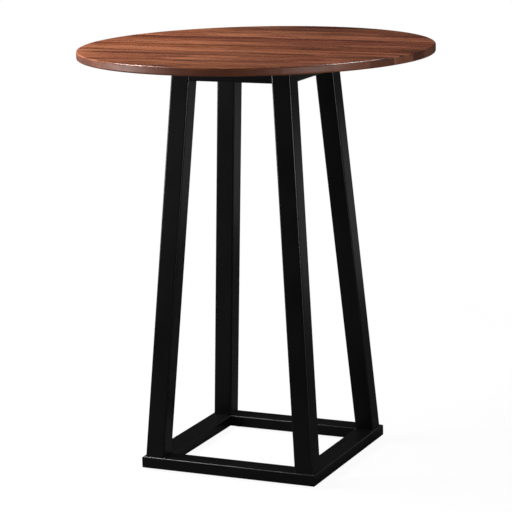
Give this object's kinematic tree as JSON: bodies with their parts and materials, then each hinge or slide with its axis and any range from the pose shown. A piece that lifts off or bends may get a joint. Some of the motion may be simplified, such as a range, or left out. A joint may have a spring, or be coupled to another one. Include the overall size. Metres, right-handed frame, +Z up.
{
  "type": "bar table",
  "caption": "Round standing-height bar table: a glued board top on splayed square steel legs with a square floor ring and screw levelling glides.",
  "frame": {"origin": "on the floor under the middle of the round top", "axes": "+Z up, +X along the boards of the top to the right, -Y towards the front of the floor ring that the picture shows widest"},
  "size_m": [0.9, 0.9, 1.065],
  "materials": {
    "wood_light": "satin lacquer",
    "wood_mid": "satin lacquer",
    "wood_dark": "satin lacquer",
    "black_powder_coat": "satin powder coat",
    "black_zinc": "black zinc plate",
    "zinc_steel": "bright zinc plate",
    "brass": "plain",
    "black_nylon": "moulded, matte"
  },
  "bodies": {
    "table": {"top_board_01": "wood_mid", "top_board_02": "wood_mid", "top_board_03": "wood_light", "top_board_04": "wood_mid", "top_board_05": "wood_light", "top_board_06": "wood_dark", "top_board_07": "wood_mid", "top_board_08": "wood_dark", "top_board_09": "wood_light", "top_board_10": "wood_mid", "top_board_11": "wood_mid", "top_board_12": "wood_dark", "apron_rail_front": "black_powder_coat", "apron_rail_right": "black_powder_coat", "apron_rail_back": "black_powder_coat", "apron_rail_left": "black_powder_coat", "base_rail_front": "black_powder_coat", "base_rail_right": "black_powder_coat", "base_rail_back": "black_powder_coat", "base_rail_left": "black_powder_coat", "leg_front_left": "black_powder_coat", "leg_front_right": "black_powder_coat", "leg_back_right": "black_powder_coat", "leg_back_left": "black_powder_coat", "top_bar_left": "black_powder_coat", "top_bar_right": "black_powder_coat", "top_bolts": "black_zinc", "top_washers": "black_zinc", "wood_inserts": "brass", "glide_nuts": "zinc_steel"},
    "stud_front_left": {"glide_stud_front_left": "zinc_steel"},
    "pad_front_left": {"glide_pad_front_left": "black_nylon"},
    "stud_front_right": {"glide_stud_front_right": "zinc_steel"},
    "pad_front_right": {"glide_pad_front_right": "black_nylon"},
    "stud_back_right": {"glide_stud_back_right": "zinc_steel"},
    "pad_back_right": {"glide_pad_back_right": "black_nylon"},
    "stud_back_left": {"glide_stud_back_left": "zinc_steel"},
    "pad_back_left": {"glide_pad_back_left": "black_nylon"}
  },
  "joints": [
    {"name": "glide_travel_front_left", "type": "slide", "parent": "table", "child": "stud_front_left", "axis": [0, 0, -1], "range_m": [0, 0.008]},
    {"name": "glide_turn_front_left", "type": "hinge", "parent": "stud_front_left", "child": "pad_front_left", "pos_m": [-0.168, -0.2095, 0], "axis": [0, 0, -1], "range_deg": [0, 2310]},
    {"name": "glide_travel_front_right", "type": "slide", "parent": "table", "child": "stud_front_right", "axis": [0, 0, -1], "range_m": [0, 0.008]},
    {"name": "glide_turn_front_right", "type": "hinge", "parent": "stud_front_right", "child": "pad_front_right", "pos_m": [0.168, -0.2095, 0], "axis": [0, 0, -1], "range_deg": [0, 2310]},
    {"name": "glide_travel_back_right", "type": "slide", "parent": "table", "child": "stud_back_right", "axis": [0, 0, -1], "range_m": [0, 0.008]},
    {"name": "glide_turn_back_right", "type": "hinge", "parent": "stud_back_right", "child": "pad_back_right", "pos_m": [0.168, 0.2095, 0], "axis": [0, 0, -1], "range_deg": [0, 2310]},
    {"name": "glide_travel_back_left", "type": "slide", "parent": "table", "child": "stud_back_left", "axis": [0, 0, -1], "range_m": [0, 0.008]},
    {"name": "glide_turn_back_left", "type": "hinge", "parent": "stud_back_left", "child": "pad_back_left", "pos_m": [-0.168, 0.2095, 0], "axis": [0, 0, -1], "range_deg": [0, 2310]}
  ],
  "couplings": [
    {"joint": "glide_turn_front_left", "follows": "glide_travel_front_left", "rad_per_m": 5026.5},
    {"joint": "glide_turn_front_right", "follows": "glide_travel_front_right", "rad_per_m": 5026.5},
    {"joint": "glide_turn_back_right", "follows": "glide_travel_back_right", "rad_per_m": 5026.5},
    {"joint": "glide_turn_back_left", "follows": "glide_travel_back_left", "rad_per_m": 5026.5}
  ]
}
